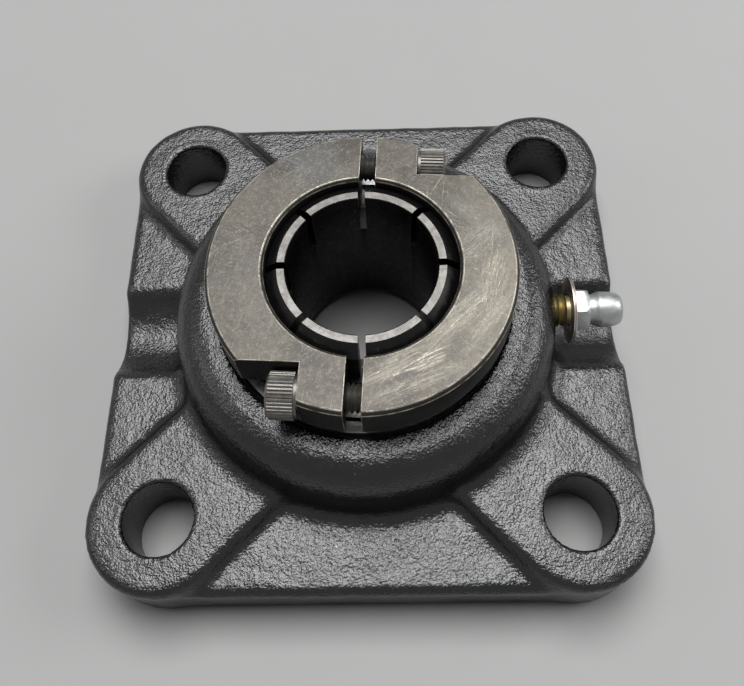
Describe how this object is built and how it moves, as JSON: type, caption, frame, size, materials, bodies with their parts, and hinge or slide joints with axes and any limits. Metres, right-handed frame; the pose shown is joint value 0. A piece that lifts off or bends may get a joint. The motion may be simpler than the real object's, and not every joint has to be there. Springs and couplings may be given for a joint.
{
  "type": "four-bolt flange bearing",
  "caption": "Square-flanged cast housing with corner bolt holes and a self-aligning ball insert, locked to a shaft by a split clamp collar and fed by a grease fitting.",
  "frame": {"origin": "centre of the mounting face, on the axis of the shaft bore", "axes": "+Z along the bore axis, out of the mounting face towards the collar; +X towards the grease fitting; +Y to the back as seen in the picture"},
  "size_m": [0.095, 0.095, 0.0364],
  "materials": {
    "housing": "glossy black paint over a sand-cast surface",
    "ring_steel": "ground",
    "inner_ring": "dark, with a bright ground end face and bore",
    "cage": "pressed sheet",
    "shroud": "pressed sheet",
    "seal": "matt",
    "flinger": "pressed sheet",
    "collar": "dark phosphate, worn bright at the edges",
    "screw": "black oxide",
    "fitting": "bright zinc plate",
    "washer": "dull copper tone",
    "ball": "polished",
    "spring": "drawn wire"
  },
  "bodies": {
    "housing": {"housing": "housing", "grease_fitting": "fitting", "fitting_washer": "washer", "check_spring": "spring"},
    "outer_ring": {"outer_ring": "ring_steel", "shroud_front": "shroud", "shroud_rear": "shroud", "seal_front": "seal", "seal_rear": "seal"},
    "inner_ring": {"inner_ring": "inner_ring", "flinger_front": "flinger", "flinger_rear": "flinger", "collar_left": "collar", "collar_right": "collar"},
    "cage": {"cage_half_front": "cage", "cage_half_rear": "cage", "cage_rivets": "cage"},
    "ball_1": {"ball_1": "ball"},
    "ball_2": {"ball_2": "ball"},
    "ball_3": {"ball_3": "ball"},
    "ball_4": {"ball_4": "ball"},
    "ball_5": {"ball_5": "ball"},
    "ball_6": {"ball_6": "ball"},
    "ball_7": {"ball_7": "ball"},
    "ball_8": {"ball_8": "ball"},
    "ball_9": {"ball_9": "ball"},
    "screw_lower": {"screw_lower": "screw"},
    "screw_upper": {"screw_upper": "screw"},
    "check_ball": {"check_ball": "ball"}
  },
  "joints": [
    {"name": "insert_align", "type": "hinge", "parent": "housing", "child": "outer_ring", "pos_m": [0, 0, 0.016], "axis": [0, 1, 0], "range_deg": [-5, 5]},
    {"name": "inner_ring_spin", "type": "hinge", "parent": "outer_ring", "child": "inner_ring", "pos_m": [0, 0, 0.016], "axis": [0, 0, 1], "continuous": true},
    {"name": "cage_spin", "type": "hinge", "parent": "outer_ring", "child": "cage", "pos_m": [0, 0, 0.016], "axis": [0, 0, 1], "continuous": true},
    {"name": "ball_1_roll", "type": "hinge", "parent": "cage", "child": "ball_1", "pos_m": [0.0195, 0, 0.016], "axis": [0, 0, 1], "continuous": true},
    {"name": "ball_2_roll", "type": "hinge", "parent": "cage", "child": "ball_2", "pos_m": [0.01494, 0.01253, 0.016], "axis": [0, 0, 1], "continuous": true},
    {"name": "ball_3_roll", "type": "hinge", "parent": "cage", "child": "ball_3", "pos_m": [0.00339, 0.0192, 0.016], "axis": [0, 0, 1], "continuous": true},
    {"name": "ball_4_roll", "type": "hinge", "parent": "cage", "child": "ball_4", "pos_m": [-0.00975, 0.01689, 0.016], "axis": [0, 0, 1], "continuous": true},
    {"name": "ball_5_roll", "type": "hinge", "parent": "cage", "child": "ball_5", "pos_m": [-0.01832, 0.00667, 0.016], "axis": [0, 0, 1], "continuous": true},
    {"name": "ball_6_roll", "type": "hinge", "parent": "cage", "child": "ball_6", "pos_m": [-0.01832, -0.00667, 0.016], "axis": [0, 0, 1], "continuous": true},
    {"name": "ball_7_roll", "type": "hinge", "parent": "cage", "child": "ball_7", "pos_m": [-0.00975, -0.01689, 0.016], "axis": [0, 0, 1], "continuous": true},
    {"name": "ball_8_roll", "type": "hinge", "parent": "cage", "child": "ball_8", "pos_m": [0.00339, -0.0192, 0.016], "axis": [0, 0, 1], "continuous": true},
    {"name": "ball_9_roll", "type": "hinge", "parent": "cage", "child": "ball_9", "pos_m": [0.01494, -0.01253, 0.016], "axis": [0, 0, 1], "continuous": true},
    {"name": "screw_lower_turn", "type": "hinge", "parent": "inner_ring", "child": "screw_lower", "pos_m": [-0.00991, -0.02086, 0.0321], "axis": [0.9981, -0.061, 0], "range_deg": [-360, 0]},
    {"name": "screw_upper_turn", "type": "hinge", "parent": "inner_ring", "child": "screw_upper", "pos_m": [0.00991, 0.02086, 0.0321], "axis": [-0.9981, 0.061, 0], "range_deg": [-360, 0]},
    {"name": "check_ball_slide", "type": "slide", "parent": "housing", "child": "check_ball", "axis": [-1, 0, 0], "range_m": [0, 0.001], "stiffness_N_per_m": 50, "springref_m": -0.001, "deforming": ["check_spring"]}
  ],
  "couplings": [
    {"joint": "cage_spin", "follows": "inner_ring_spin", "ratio": 0.40128},
    {"joint": "ball_1_roll", "follows": "inner_ring_spin", "ratio": -2.4337},
    {"joint": "ball_2_roll", "follows": "inner_ring_spin", "ratio": -2.4337},
    {"joint": "ball_3_roll", "follows": "inner_ring_spin", "ratio": -2.4337},
    {"joint": "ball_4_roll", "follows": "inner_ring_spin", "ratio": -2.4337},
    {"joint": "ball_5_roll", "follows": "inner_ring_spin", "ratio": -2.4337},
    {"joint": "ball_6_roll", "follows": "inner_ring_spin", "ratio": -2.4337},
    {"joint": "ball_7_roll", "follows": "inner_ring_spin", "ratio": -2.4337},
    {"joint": "ball_8_roll", "follows": "inner_ring_spin", "ratio": -2.4337},
    {"joint": "ball_9_roll", "follows": "inner_ring_spin", "ratio": -2.4337}
  ]
}
